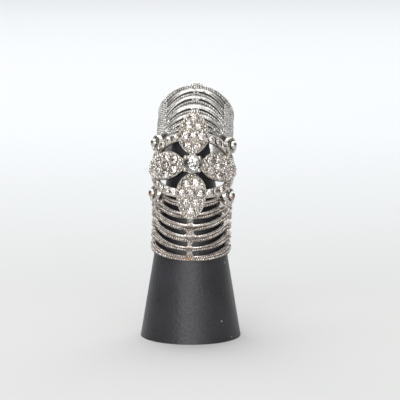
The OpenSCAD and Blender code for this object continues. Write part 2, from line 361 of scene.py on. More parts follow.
# The rib at the lower cage's rim is grained nearly all over; its last column is grime and painted shade, as above.
rimProfile = [
    (0, 0.3, 0.7), (0.03, 0.2, 0.5), (0.07, 0.26, 0.9), (0.24, 0.32, 1), (0.4, 0.28, 0.95), (0.45, 0.28, 0.95),
    (0.6, 0.32, 1), (0.74, 0.26, 0.9), (0.78, 0.1, 0.4), (0.84, 0.02, 0), (0.92, 0.05, 0), (0.96, 0.14, 0.3),
    (1, 0.32, 0.95),
]
# Cages: a tube pierced by rows of curved slots, with a polished strip and a grained strip on each rib.
# Each front slot: height at the front, tilt, angle where it ends, half its centre bridge, its corner.
lowerCageForm = {
    "radius": 10.45,
    "reach": 10.15,  # how far out the metal stands inside the hinge's notch
    "frontSlots": [(13, 25.4, 45, 0.6, 0.6), (10.1, 24, 50, 0.6, 0.6), (7.15, 26.5, 55, 0.95, 1.3),
                   (4.2, 26, 63, 0.55, 0.6), (1.85, 17, 65, 0.7, 0.6)],
    "slotHeight": 1.22, "wall": 0.75,
    "turnsFrom": 60,  # angle from which the slots bend to their side heights
    "rimProfile": rimProfile,
    "rimRows": (0.24, 0.6),  # where the rows of grains run across the rim's rib
    "rubbed": (1, -6, 4),  # the second rib has no grains between these angles, beside its bridge
    "grainSink": 0.27,  # of a grain's middle below the cage's surface, clear of the roundel inside
    "grainField": None,
}
upperCageForm = {
    "radius": 9.9, "reach": 10,
    "frontSlots": [(13.6, 24, 30, 0.6, 0.5), (11.4, 34, 46, 0.6, 0.5), (8.4, 39, 44, 0.9, 0.5),
                   (4.9, 44, 51, 0.8, 0.5), (2.3, 38, 49, 0.7, 0.5)],
    "slotHeight": 0.78, "wall": 0.95, "turnsFrom": 46, "rimProfile": ribProfile,
    "rimRows": (0.1, 0.33),
    "rubbed": (0, 0, 0),  # none
    "grainSink": 0.12,
    # A sunk field at each side, darkened with grime and painted shade, with slanting rows of grains above the middle of
    # the rim's rib.
    "grainField": {"from": 51, "to": 73, "tilt": 42, "step": 0.76, "rows": (-16, 26), "rimShare": 0.5, "below": 0.3},
}
cage = {
    # height beside the axis and slope towards the back, for the second slot and those below it
    "sideSlots": [(11.9, -20), (9.2, -14), (6.6, -7), (4, 0)], "sideFrom": 74, "sideTo": 120,
    "sideNarrowing": 0.4, "slotEndShare": 0.35, "rim": (-0.15, 7), "top": (15.1, 24),
    "backTop": (16.8, -26.5), "notchRadius": 2.4, "notchFrom": 8.8, "turnsTo": 76,
    "plainFrom": 116,  # behind this angle the ribs fade into a plain band
    "plainTo": 132, "plainDepth": 0.1,
    "edgeShare": 0.1,  # of a rib's width, the part that is its edge
    # The fields and the bridges between slots are darkened with grime and painted shade.
    "fieldDepth": 0.32, "fieldGrimeAndShade": 0.9, "fieldFade": 3, "bridgeDepth": 0.2, "bridgeGrimeAndShade": 0.5,
    "bridgeFade": 0.35, "bridgeShares": (0.33, 0.67),
    "innerShade": 0.85,  # painted shade on the inside, full in front and fading towards the back
    "innerShadeFade": 0.8, "shadeFadeEarly": 8, "columnStep": 1.15, "backStep": 3,
}


class CageLines:
    # Heights of a cage's rim, slots and top at an angle (in degrees) from the front.
    def __init__(self, form):
        self.c = dict(cage, **form)
        self.radius = form["radius"]
        self.slots = form["frontSlots"]
        self.profiles = [form["rimProfile"]] + [ribProfile] * len(self.slots)

    def back(self, angle):
        return -self.radius * cos(radians(angle))

    def turning(self, angle):
        return smoothStep(self.c["turnsFrom"], self.c["turnsTo"], abs(angle))

    # A line's height, from its height in front and its slope towards the back.
    def sloping(self, line, angle):
        return line[0] + (self.back(angle) + self.radius) * tan(radians(line[1]))

    def top(self, angle):
        backZ, backTilt = self.c["backTop"]
        return min(self.sloping(self.c["top"], angle), backZ + (self.back(angle) - hingeY) * tan(radians(backTilt)))

    def slot(self, k, angle):
        front = self.sloping(self.slots[k], angle)
        sideZ, sideTilt = self.c["sideSlots"][max(k - 1, 0)]
        side = sideZ + self.back(angle) * tan(radians(sideTilt))
        if k == 0:
            side = (side + self.top(angle)) / 2
        return front + (side - front) * self.turning(angle)

    # How far inside the open slot a place is, in millimetres along the cage; negative on metal.
    def opening(self, k, angle):
        end, bridge = self.slots[k][2:4]
        reach = radians(abs(angle)) * self.radius
        front = min(reach - bridge, radians(end) * self.radius - reach)
        if k == 0:
            return front
        side = min(abs(angle) - self.c["sideFrom"], self.c["sideTo"] - abs(angle))
        return max(front, radians(side) * self.radius)

    def halfSlot(self, k, angle):
        t = min(max(self.opening(k, angle) / self.slots[k][4], 0), 1)
        share = max(sqrt(1 - (1 - t) ** 2), self.c["slotEndShare"])
        return self.c["slotHeight"] / 2 * share * (1 - self.c["sideNarrowing"] * self.turning(angle))

    # Lower and upper edge of rib j, counted from the rim.
    def ribEdges(self, j, angle):
        k = len(self.slots) - j  # the slot below the rib, counted from the top
        low = self.slot(k, angle) + self.halfSlot(k, angle) if j else self.sloping(self.c["rim"], angle)
        high = self.slot(k - 1, angle) - self.halfSlot(k - 1, angle) if k else self.top(angle)
        return low, high


def cageColumns(c):
    marks = {0, c["sideFrom"], c["sideTo"], 180}
    for z, tilt, end, bridge, corner in c["frontSlots"]:
        marks |= {end, 180 / pi * bridge / c["radius"]}
    marks = sorted(marks)
    half = []
    for low, high in zip(marks, marks[1:]):
        step = c["backStep"] if low >= c["sideTo"] else c["columnStep"]
        count = max(1, ceil((high - low) / step))
        half += [low + (high - low) * i / count for i in range(count)]
    return [-a for a in reversed(half[1:])] + half + [180]


# For each column, its points from the rim up: height, depth, grime and painted shade, and the slot that the cell above
# lies in.
def cageGrid(lines, columns):
    c = lines.c
    field = c["grainField"]
    grid = []
    for angle in columns:
        plain = smoothStep(c["plainFrom"], c["plainTo"], abs(angle))
        smooth = field and smoothStep(field["from"] - c["fieldFade"], field["from"], abs(angle)) * (
            1 - smoothStep(field["to"], field["to"] + c["fieldFade"], abs(angle)))
        rows = []
        for j in range(len(lines.profiles)):
            k = len(lines.slots) - j
            low, high = lines.ribEdges(j, angle)
            below = smoothStep(0, c["bridgeFade"], lines.opening(k, angle)) if j else 1
            above = smoothStep(0, c["bridgeFade"], lines.opening(k - 1, angle)) if k else 1
            for share, depth, grimeAndShade in lines.profiles[j]:
                atLow, atHigh = share < c["edgeShare"], share > 1 - c["edgeShare"]
                edge = below if atLow else above if atHigh else 1
                depth = c["bridgeDepth"] + (depth - c["bridgeDepth"]) * edge
                if not (j == 0 and atLow or k == 0 and atHigh):
                    depth += (c["plainDepth"] - depth) * plain
                    if smooth:
                        depth += (c["fieldDepth"] - depth) * smooth
                        grimeAndShade += (c["fieldGrimeAndShade"] - grimeAndShade) * smooth
                rows.append((low + (high - low) * share, depth, grimeAndShade * (1 - plain), k - 1 if share == 1 else None))
            if k:
                gap = lines.ribEdges(j + 1, angle)[0] - high
                rows += [(high + gap * share, c["bridgeDepth"], c["bridgeGrimeAndShade"], k - 1) for share in c["bridgeShares"]]
        grid.append(rows)
    return grid


def cageShape(lines):
    c = lines.c
    radius = lines.radius
    columns = cageColumns(c)
    grid = cageGrid(lines, columns)
    shape = Shape()
    index = {}

    def inNotch(a, z):
        return hypot(-radius * cos(a) - hingeY, z - hingeZ) < c["notchRadius"]

    # A cell is metal where it lies in no slot and in neither notch.
    def solid(i, j):
        angle = (columns[i] + columns[i + 1]) / 2 if i + 1 < len(columns) else 180
        slot = grid[i][j][3]
        if slot is not None and lines.opening(slot, angle) > 0:
            return False
        a = radians(angle)
        return radius * abs(sin(a)) <= c["notchFrom"] or not inNotch(a, (grid[i][j][0] + grid[i][j + 1][0]) / 2)

    def vertex(i, j, outer):
        if (i, j, outer) not in index:
            index[i, j, outer] = len(shape.points)
            a = radians(columns[i])
            z, depth, grimeAndShade = grid[i][j][:3]
            r = radius - (depth if outer else c["wall"])
            if outer and inNotch(a, z):
                r = min(r, c["reach"])
            # The inside carries painted shade, less of it towards the back.
            shadeFading = smoothStep(c["plainFrom"] - c["shadeFadeEarly"], c["plainTo"] - c["shadeFadeEarly"], abs(columns[i]))
            shape.points.append(polar(a, r, z))
            shape.grimeAndShade.append(grimeAndShade if outer else c["innerShade"] - c["innerShadeFade"] * shadeFading)
        return index[i, j, outer]

    cells = {(i, j) for i in range(len(columns)) for j in range(len(grid[0]) - 1) if solid(i, j)}
    for i, j in sorted(cells):
        n = (i + 1) % len(columns)
        corners = ((i, j), (n, j), (n, j + 1), (i, j + 1))
        out = [vertex(*corner, True) for corner in corners]
        inn = [vertex(*corner, False) for corner in corners]
        shape.faces += [tuple(out), tuple(reversed(inn))]
        for side, cell in enumerate(((i, j - 1), (n, j), (i, j + 1), ((i - 1) % len(columns), j))):
            if cell not in cells:
                after = (side + 1) % 4
                shape.faces.append((out[side], inn[side], inn[after], out[after]))
    return shape


# Hinge: a flat ear inside the cage, darkened with painted shade, and the polished U-shaped rim of its notch.
hinge = {
    "earRadius": 1.6, "ear": (8.1, 8.8), "earShade": 0.85, "round": 0.15, "rimMiddle": 2.66,
    "rimHalf": 0.26, "rimHeight": 0.15, "rimSink": 0.3, "rimEnd": 1, "rimSteps": 28, "rimGrimeAndShade": 0.05,
}


# A flat disc on the hinge's axis with rounded edges, between two distances from the middle.
def hingeDisc(side, z, reach, radius):
    first, last = reach
    edge = hinge["round"]
    profile = [(first, radius - edge), (first + edge, radius), (last - edge, radius), (last, radius - edge)]
    return turned((0, hingeY, z), (side, 0, 0), profile)


def addHingeParts(shape, radius):
    h = hinge
    last = acos(h["rimEnd"] / h["rimMiddle"])
    profile = [(h["rimHalf"] * cos(pi * n / 8), h["rimHeight"] * sin(pi * n / 8)) for n in range(9)]
    profile += [(-h["rimHalf"], -h["rimSink"]), (h["rimHalf"], -h["rimSink"])]
    for side in (-1, 1):
        shape.add(*hingeDisc(side, hingeZ, h["ear"], h["earRadius"]), h["earShade"])
        path = []
        normals = []
        for i in range(h["rimSteps"] + 1):
            a = -last + 2 * last * i / h["rimSteps"]
            y = hingeY + h["rimMiddle"] * sin(a)
            out = Vector((side * sqrt(radius ** 2 - y ** 2), y, 0)).normalized()
            path.append(out * radius + Vector((0, 0, hingeZ - h["rimMiddle"] * cos(a))))
            normals.append(out)
        shape.add(*swept(path, normals, profile, False), h["rimGrimeAndShade"])


lowerLines = CageLines(lowerCageForm)
upperLines = CageLines(upperCageForm)
cages = (("lower", lowerLines, ringFrame, "base"), ("upper", upperLines, upperFrame, "tip"))
for name, lines, place, body in cages:
    casting = cageShape(lines)
    addHingeParts(casting, lines.radius)
    makePiece(name + "CageCast", casting, place, castMetal[body], body, "cast_metal", [name + "_cage"])


def newTree(name, sockets):
    tree = bpy.data.node_groups.new(name, "GeometryNodeTree")
    for label, kind in [("Geometry", "Geometry"), *sockets]:
        tree.interface.new_socket(label, in_out="INPUT", socket_type="NodeSocket" + kind)
    tree.interface.new_socket("Geometry", in_out="OUTPUT", socket_type="NodeSocketGeometry")
    add = partial(addNode, tree)
    return tree, add, add("NodeGroupInput").node.outputs


def endTree(tree, add, copies, material):
    real = add("GeometryNodeRealizeInstances", {"Geometry": copies})
    add("NodeGroupOutput", {"Geometry": add("GeometryNodeSetMaterial", {"Geometry": real, "Material": material})})
    return tree


# A row of grains at an even pitch along each line of the mesh.
def makeGrainTree():
    tree, add, given = newTree("milgrainRows", [
        ("Pitch", "Float"), ("Grain radius", "Float"), ("Spread", "Float"), ("Seed", "Int"), ("Material", "Material")])
    curve = add("GeometryNodeMeshToCurve", {"Mesh": given["Geometry"]})
    spaced = add("GeometryNodeResampleCurve", {"Curve": curve, "Length": given["Pitch"]}, mode="LENGTH")
    grain = add("GeometryNodeMeshUVSphere", {"Segments": 9, "Rings": 6, "Radius": given["Grain radius"]})
    least, most = [add("Math", [1, given["Spread"]], operation=operation) for operation in ("SUBTRACT", "ADD")]
    size = add("FunctionNodeRandomValue", {2: least, 3: most, "Seed": given["Seed"]}, output=1)
    rows = add("GeometryNodeInstanceOnPoints", {"Points": spaced, "Instance": grain, "Scale": size})
    return endTree(tree, add, rows, given["Material"])


# A copy of one object at each point, turned to the point's "facing" and "spin" and scaled by its "size".
def makeSettingTree():
    tree, add, given = newTree("settings", [("Copy", "Object"), ("Material", "Material")])
    model = add("GeometryNodeObjectInfo", {"Object": given["Copy"]}, output="Geometry")
    facing, spin, size = [add("GeometryNodeInputNamedAttribute", {"Name": name}, data_type=kind)
                          for name, kind in (("facing", "FLOAT_VECTOR"), ("spin", "FLOAT"), ("size", "FLOAT"))]
    upright = add("FunctionNodeAlignRotationToVector", {"Vector": facing}, axis="Z")
    twist = add("FunctionNodeAxisAngleToRotation", {"Axis": (0, 0, 1), "Angle": spin})
    aimed = add("FunctionNodeRotateRotation", {"Rotation": upright, "Rotate By": twist}, rotation_space="LOCAL")
    copies = add("GeometryNodeInstanceOnPoints", {
        "Points": given["Geometry"], "Instance": model, "Rotation": aimed, "Scale": size})
    return endTree(tree, add, copies, given["Material"])


grainTree = makeGrainTree()
settingTree = makeSettingTree()


# Runs a tree on a helper mesh and returns the result as a mesh.
def runTree(name, mesh, tree, values):
    helper = addObject(name + "Helper", mesh)
    modifier = helper.modifiers.new("nodes", "NODES")
    modifier.node_group = tree
    for item in tree.interface.items_tree:
        if item.in_out == "INPUT" and item.name in values:
            modifier[item.identifier] = values[item.name]
    graph = bpy.context.evaluated_depsgraph_get()
    result = bpy.data.meshes.new_from_object(helper.evaluated_get(graph), depsgraph=graph)
    result.name = name
    bpy.data.objects.remove(helper)
    return result


# Milgrain: rows of small cast grains along the grained strips of the ribs.
milgrain = {
    "pitch": 0.6, "radius": 0.3, "spread": 0.2, "ribRows": (0.26,),
    "sideRows": (0.52, 0.78),  # behind the upper cage's fields
    "reach": 119,  # degrees either side of the front
    "stepDegrees": 2,
    "notchGap": 0.3,  # between the rows and the notch's rim
    "seed": 7,
}


def grainLines(lines, place):
    c, m = lines.c, milgrain
    field = c["grainField"]
    rubbedRib, rubbedFrom, rubbedTo = c["rubbed"]
    points = []
    edges = []

    # One row: "height" gives its place along the cage at an angle, or None where it is left out.
    def addRow(first, last, height):
        steps = round((last - first) / m["stepDegrees"])
        joined = False
        for i in range(steps + 1):
            angle = first + (last - first) * i / steps
            z = height(angle)
            if z is None or hypot(lines.back(angle) - hingeY, z - hingeZ) < hinge["rimMiddle"] + m["notchGap"]:
                joined = False
                continue
            if joined:
                edges.append((len(points) - 1, len(points)))
            points.append(place @ polar(radians(angle), lines.radius - c["grainSink"], z) * mm)
            joined = True

    for j in range(len(lines.profiles)):
        for share in c["rimRows"] if j == 0 else m["ribRows"] + m["sideRows"] * bool(field):
            def along(angle):
                low, high = lines.ribEdges(j, angle)
                rubbed = j == rubbedRib and rubbedFrom < angle < rubbedTo
                inField = field and j > 0 and field["from"] < abs(angle) < field["to"]
                inFront = share in m["sideRows"] and abs(angle) < field["to"]
                return None if rubbed or inField or inFront else low + (high - low) * share
            addRow(-m["reach"], m["reach"], along)
    for n in range(*field["rows"]) if field else ():
        def slanted(angle):
            z = n * field["step"] + (lines.back(angle) + lines.radius) * tan(radians(field["tilt"]))
            low, high = lines.ribEdges(0, angle)
            return z if low + (high - low) * field["rimShare"] < z < lines.top(angle) - field["below"] else None
        for side in (-1, 1):
            addRow(*sorted((side * field["from"], side * field["to"])), slanted)
    return newMesh("grainLines", points, (), edges)


for name, lines, place, body in cages:
    rows = runTree(name + "Milgrain", grainLines(lines, place), grainTree, {
        "Pitch": milgrain["pitch"] * mm, "Grain radius": milgrain["radius"] * mm, "Spread": milgrain["spread"],
        "Seed": milgrain["seed"], "Material": castMetal[body]})
    finishPiece(name + "Milgrain", rows, castMetal[body], body, "cast_metal", [], 80)

# Roundel: four petals on an oval frame, bent round the finger.
roundel = {
    "inside": 10.6, "frameThickness": 0.75, "petalCrown": 0.7, "wireHeight": 0.75,
    "bend": 11.2,  # radius on which distances round the ring are measured
    "petalLength": 11.5,
    "petalHalf": {0: 3.6, 90: 4, 180: 3.65, 270: 3.85},  # by the petal's direction, in degrees
    "petalFrom": 2.5, "petalWidest": 5,
    "petalNeck": {0: 1.3, 90: 0.5, 180: 1.5, 270: 0.9},
    "innerPower": {0: 2.9, 90: 2.1, 180: 2.3, 270: 2.9},  # how blunt each petal's inner end is
    "outerPower": 2.5, "petalSteps": 46, "root": 1, "stub": 0.7, "dome": 0.22, "ovalAcross": 14.2,
    "ovalUp": 8.8, "ovalSteps": 144, "band": 2.35, "wire": 0.14, "wireInset": 0.12,
    # the plates' backs, towards the finger, carry grime and painted shade
    "wireSteps": 30, "backGrimeAndShade": 0.6,
}
petalTurns = (0, 90, 180, 270)
quarters = ((-1, -1), (-1, 1), (1, -1), (1, 1))
# Across a petal, from edge to edge: share of its half width, height below the crown's edge, grime and painted shade.
petalProfile = [(-1, 0.3, 0.3), (-0.96, 0.08, 0.3), (-0.88, 0, 0.8), (-0.75, 0, 0.8), (-0.5, 0, 0.8), (-0.25, 0, 0.8)]
petalProfile += [(0, 0, 0.8)] + [(-v, drop, grimeAndShade) for v, drop, grimeAndShade in reversed(petalProfile)]
# Across the band, from edge to edge: share of its width, depth below its rims, grime and painted shade.
bandProfile = [
    (0, 0.3, 0.4), (0.04, 0.1, 0.1), (0.1, 0, 0), (0.16, 0.05, 0.3), (0.22, 0.2, 0.85), (0.5, 0.22, 0.9),
    (0.78, 0.2, 0.85), (0.84, 0.05, 0.3), (0.9, 0, 0), (0.96, 0.1, 0.1), (1, 0.3, 0.4),
]


def outward(s):
    return polar(s / roundel["bend"], 1)


def onRoundel(s, z, height):
    return polar(s / roundel["bend"], roundel["inside"] + height, z)


def petalHalf(u, degrees):
    p = roundel
    neck, widest, length = p["petalNeck"][degrees], p["petalWidest"], p["petalLength"]
    if u < 0 or u > length:
        return neck
    if u < widest:
        share = 1 - ((widest - u) / widest) ** p["innerPower"][degrees]
    else:
        share = 1 - ((u - widest) / (length - widest)) ** p["outerPower"]
    return neck + (p["petalHalf"][degrees] - neck) * share


def petalPlace(u, v, degrees):
    a = radians(degrees)
    along = roundel["petalFrom"] + u
    return along * cos(a) - v * sin(a), along * sin(a) + v * cos(a)


# A plate from rows of places across it, with a height above the inside for each place in a row.
def addPlate(shape, rows, heights, profile, looped):
    points = []
    for row in rows:
        points += [onRoundel(s, z, height) for (s, z), height in zip(row, heights)]
        points += [onRoundel(s, z, 0) for s, z in reversed(row)]
    grimeAndShade = [row[2] for row in profile] + [roundel["backGrimeAndShade"]] * len(profile)
    shape.add(points, tubeFaces(len(rows), len(grimeAndShade), looped), grimeAndShade * len(rows))


def addPetals(shape):
    p = roundel
    heights = [p["petalCrown"] + p["dome"] * (1 - v * v) - drop for v, drop, grimeAndShade in petalProfile]
    reach = p["root"] + p["petalLength"] + p["stub"]
    along = [reach * i / p["petalSteps"] - p["root"] for i in range(p["petalSteps"] + 1)]
    for degrees in petalTurns:
        rows = [[petalPlace(u, -v * petalHalf(u, degrees), degrees) for v, drop, grimeAndShade in petalProfile] for u in along]
        addPlate(shape, rows, heights, petalProfile, False)


def addOval(shape):
    p = roundel
    sizes = [(p["ovalAcross"] - p["band"] * (1 - w), p["ovalUp"] - p["band"] * (1 - w))
             for w, drop, grimeAndShade in reversed(bandProfile)]
    rows = [[(across * sin(t), up * cos(t)) for across, up in sizes] for t in around(p["ovalSteps"])]
    heights = [p["frameThickness"] - drop for w, drop, grimeAndShade in bandProfile]
    addPlate(shape, rows, heights, bandProfile, True)


# A round wire laid along the edge of each petal.
def addPetalWires(shape):
    p = roundel
    wire = [(p["wire"] * cos(a), p["wire"] * sin(a)) for a in around(10)]
    there = [(1, p["petalLength"] * (1 - cos(pi * i / p["wireSteps"])) / 2) for i in range(p["wireSteps"] + 1)]
    back = [(-side, u) for side, u in reversed(there)]
    for degrees in petalTurns:
        outline = [petalPlace(u, side * (petalHalf(u, degrees) - p["wireInset"]), degrees) for side, u in there + back]
        path = [onRoundel(s, z, p["wireHeight"]) for s, z in outline]
        shape.add(*swept(path, [outward(s) for s, z in outline], wire, True), 0)


# Arms: flat rings round the balls, and the lugs behind them that carry the pins, darkened with painted shade.
arm = {
    "lugRadius": 1.3, "lug": (8.85, 9.5), "lugShade": 0.95,
    # round the ring's section: distance from the hinge's axis, height above the roundel's inside, grime and painted
    # shade (the inner face is shaded)
    "section": [(1.55, 0, 0.9), (1.55, 0.65, 0.4), (1.65, 0.75, 0.05), (1.93, 0.75, 0.05), (2.05, 0.6, 0.05),
                (2.05, 0, 0.05)],
    "steps": 36,
}


def addArms(shape):
    count = arm["steps"]
    faces = tubeFaces(len(arm["section"]), count, True)
    for side, end in quarters:
        z = end * halfGap
        shape.add(*hingeDisc(side, z, arm["lug"], arm["lugRadius"]), arm["lugShade"])
        points = []
        for away, height, grimeAndShade in arm["section"]:
            for a in around(count):
                y = hingeY + away * cos(a)
                points.append((side * sqrt((roundel["inside"] + height) ** 2 - y * y), y, z + away * sin(a)))
        grimeAndShade = [grimeAndShade for away, height, grimeAndShade in arm["section"] for i in range(count)]
        shape.add(points, flipped(faces) if side < 0 else faces, grimeAndShade)


# Centre setting: a round cup on the crossing of the petals.
cup = {"radius": 2.42, "seatRadius": 2.12, "base": 10.7, "height": 1.55, "seatDepth": 1, "sides": 48}


def addCup(shape):
    r, seat, base, top = cup["radius"], cup["seatRadius"], cup["base"], cup["base"] + cup["height"]
    # distance out, radius, grime and painted shade (the seat under the stone is shaded)
    wall = [(base, r - 0.3, 0.2), (base + 0.35, r - 0.1, 0.2), (top - 0.5, r - 0.05, 0.2), (top - 0.12, r, 0.2),
            (top, r - 0.12, 0), (top - 0.05, seat + 0.05, 0), (top - cup["seatDepth"], seat, 0.8)]
    shape.add(*turned((0, 0, 0), (0, -1, 0), [row[:2] for row in wall], cup["sides"]),
              [grimeAndShade for out, radius, grimeAndShade in wall for i in range(cup["sides"])])


roundelMetal = Shape()
for addPart in (addPetals, addOval, addPetalWires, addArms, addCup):
    addPart(roundelMetal)
makePiece("roundelCast", roundelMetal, roundelFrame, castMetal["middle"], "middle", "cast_metal", ["roundel"])

# Round brilliants' crowns: a table, eight stars, eight kites and sixteen halves, for a girdle of radius 1.
cut = {"table": 0.48, "crown": 0.34, "girdle": 0.05, "starRadius": 0.79}


def crownMesh():
    high, star = cut["crown"], cut["starRadius"]
    starHigh = high * (1 - star * cos(radians(22.5))) / (1 - cut["table"])
    points = []
    rings = ((8, 0, cut["table"], high), (8, 22.5, star, starHigh), (16, 0, 1, 0), (16, 0, 1, -cut["girdle"]))
    for count, first, radius, z in rings:
        for k in range(count):
            a = radians(first + 360 / count * k)
            points.append((radius * cos(a), radius * sin(a), z))
    faces = [tuple(range(8))]
    for k in range(8):
        corner = 16 + 2 * k
        faces += [(k, 8 + k, (k + 1) % 8), (k, 8 + (k - 1) % 8, corner, 8 + k), (8 + k, corner, corner + 1),
                  (8 + k, corner + 1, 16 + (2 * k + 2) % 16)]
    faces += [(16 + k, 32 + k, 32 + (k + 1) % 16, 16 + (k + 1) % 16) for k in range(16)]
    return points, faces


# What the setting tree copies: crowns and beads.
crownModel = bpy.data.objects.new("crownModel", newMesh("crownModel", *crownMesh()))
beadModel = bpy.data.objects.new("beadModel", newMesh("beadModel", ()))
ball = bmesh.new()
bmesh.ops.create_uvsphere(ball, u_segments=10, v_segments=6, radius=1, matrix=turn(90, "Z"))
ball.to_mesh(beadModel.data)


# Each place is (point in millimetres, facing, size in millimetres, spin).
def setCopies(name, places, upright, model, material, *finish):
    points, facings, sizes, spins = zip(*places)
    mesh = newMesh("settingPoints", [upright @ p * mm for p in points])
    facings = [c for facing in facings for c in (upright.to_3x3() @ facing).normalized()]
    mesh.attributes.new("facing", "FLOAT_VECTOR", "POINT").data.foreach_set("vector", facings)
    addFloats(mesh, "size", [size * mm for size in sizes])
    addFloats(mesh, "spin", spins)
    copies = runTree(name, mesh, settingTree, {"Copy": model, "Material": material})
    finishPiece(name, copies, material, *finish)


def setStones(name, places, material, node):
    setCopies(name, places, roundelFrame, crownModel, material, "middle", "stones", [node], 1)


def setBeads(name, places, upright, body):
    setCopies(name, places, upright, beadModel, castMetal[body], body, "cast_metal", [], 80)


# Stones: [distance along the petal, to the side of its middle line], and five in each quarter of the frame.
stones = {
    "petalSeats": [(2.4, -1.22), (2.4, 1.22), (4.95, -2.38), (4.95, 0), (4.95, 2.38), (7.45, -1.25), (7.45, 1.25),
                   (9.8, 0)],
    "petalRadius": 1.18,
    # sizes that differ most, by petal's direction and seat
    "petalSizes": {(270, 0): 0.88, (270, 1): 1.2, (0, 4): 1.18, (180, 2): 1.15, (90, 6): 1.1},
    "petalGirdle": 0.98,  # above the roundel's inside
    "frameRadius": 1, "frameGirdle": 0.76, "quarterStones": 5, "quarterFrom": 22.1,
    "quarterStep": 9.4, "quarterStretch": 0.42, "tiltDegrees": 11, "sizeSpread": 0.08, "seed": 21,
}
draw = random.Random(stones["seed"])


def vary(spread):
    return draw.uniform(-spread, spread)


def stonePlace(s, z, height, radius):
    tilt = radians(stones["tiltDegrees"])
    facing = outward(s) + Vector([vary(tilt) for n in range(3)])
    size = radius * (1 + vary(stones["sizeSpread"]))
    return onRoundel(s, z, height), facing.normalized(), size, draw.uniform(0, pi)


# A place on the frame: "i" counts a quarter's stones, "away" is the distance out from the band's middle line.
def framePlace(quarter, i, away=0):
    a = radians(stones["quarterFrom"] + stones["quarterStep"] * i + stones["quarterStretch"] * i * i)
    out = away - roundel["band"] / 2
    return quarter[0] * (roundel["ovalAcross"] + out) * sin(a), quarter[1] * (roundel["ovalUp"] + out) * cos(a)


petalStones = [
    stonePlace(*petalPlace(u, v, degrees), stones["petalGirdle"],
               stones["petalRadius"] * stones["petalSizes"].get((degrees, n), 1))
    for degrees in petalTurns for n, (u, v) in enumerate(stones["petalSeats"])]
frameStones = [
    stonePlace(*framePlace(quarter, i), stones["frameGirdle"], stones["frameRadius"])
    for quarter in quarters for i in range(stones["quarterStones"])]
setStones("petalStones", petalStones, foiledStone, "petal_stones")
setStones("frameStones", frameStones, foiledStone, "frame_stones")

centre = {
    "radius": 2.24, "girdle": cup["base"] - roundel["inside"] + cup["height"],
    "tilt": (-0.08, 0, 0.05), "spin": 0.5, "claw": 0.58, "clawAt": 2.3, "clawLift": 0.12,
}
centrePlace = (onRoundel(0, 0, centre["girdle"]), outward(0) + Vector(centre["tilt"]), centre["radius"], centre["spin"])
setStones("centreCrown", [centrePlace], centreFoil, "centre_stone")

# Beads: in the petals between the stones, and in pairs between the frame's stones.
pave = {
    "step": 0.09, "least": 0.14, "most": 0.4,
    "stoneShare": 0.97,  # of a stone's radius, kept free of beads
    "wireInset": 0.3, "edgeShare": 0.9, "overlap": 1.25, "sizeSpread": 0.1, "height": 0.88,
    "frameAway": 0.62,  # of a pair, from the frame's middle line
    "frameRadius": 0.26, "frameHeight": 0.68,
}


# Beads of metal in the spaces that a petal's stones leave: the widest space first, until none is left.
def petalBeads(degrees):
    p = pave
    wide = int(roundel["petalHalf"][degrees] / p["step"])
    long = int(roundel["petalLength"] / p["step"])
    grid = [(i * p["step"], j * p["step"]) for i in range(3, long) for j in range(-wide, wide + 1)]
    grid = [(u, v) for u, v in grid if abs(v) < petalHalf(u, degrees) - p["wireInset"]]
    free = np.array([(petalHalf(u, degrees) - abs(v)) * p["edgeShare"] - p["wireInset"] / 2 for u, v in grid])
    grid = np.array(grid)
    taken = [(u, v, stones["petalRadius"] * p["stoneShare"]) for u, v in stones["petalSeats"]]
    beads = []
    while True:
        for u, v, r in taken:
            free = np.minimum(free, np.hypot(grid[:, 0] - u, grid[:, 1] - v) - r)
        best = int(np.argmax(free))
        if free[best] < p["least"]:
            return beads
        taken = [(*grid[best], min(free[best], p["most"]))]
        beads += taken


def beadPlace(s, z, height, size):
    return onRoundel(s, z, height), outward(s), size, 0


beadPlaces = []
for degrees in petalTurns:
    for u, v, r in petalBeads(degrees):
        size = r * pave["overlap"] * (1 + vary(pave["sizeSpread"]))
        beadPlaces.append(beadPlace(*petalPlace(u, v, degrees), pave["height"], size))
for quarter in quarters:
    for i in range(stones["quarterStones"] + 1):
        for away in (-pave["frameAway"], pave["frameAway"]):
            beadPlaces.append(beadPlace(*framePlace(quarter, i - 0.5, away), pave["frameHeight"], pave["frameRadius"]))
clawAt = centre["clawAt"] * sqrt(0.5)
beadPlaces += [beadPlace(x * clawAt, z * clawAt, centre["girdle"] + centre["clawLift"], centre["claw"])
               for x, z in quarters]
setBeads("roundelBeads", beadPlaces, roundelFrame, "middle")

# Bright nubs beyond the ends of the cages' upper slots.
nub = {"radius": 0.42, "beyond": 2.6, "sink": 0.05, "lowerSlots": 4, "upperSlots": 2}


def nubPlaces(lines, count):
    places = []
    for side in (-1, 1):
        for k in range(count):
            angle = side * (lines.slots[k][2] + nub["beyond"])
            point = polar(radians(angle), lines.radius - nub["sink"], lines.slot(k, angle))
            places.append((point, polar(radians(angle), 1), nub["radius"], 0))
    return places


# Grains on the upper ring's middle line: across from the middle, height above the rim, radius.
crestLift = 0.02
crestGrains = [(-0.3, -0.3, 0.52), (0.5, -0.3, 0.52), (-1, -0.1, 0.45), (1.2, -0.1, 0.45), (-0.45, 0.7, 0.36),
               (0, 2.1, 0.42), (0.35, 3, 0.32), (-0.2, 4.75, 0.4), (0.2, 5.5, 0.32)]
crestPlaces = [(Vector((x, -sqrt((upperLines.radius + crestLift) ** 2 - x * x), z)), outward(0), r, 0)
               for x, z, r in crestGrains]
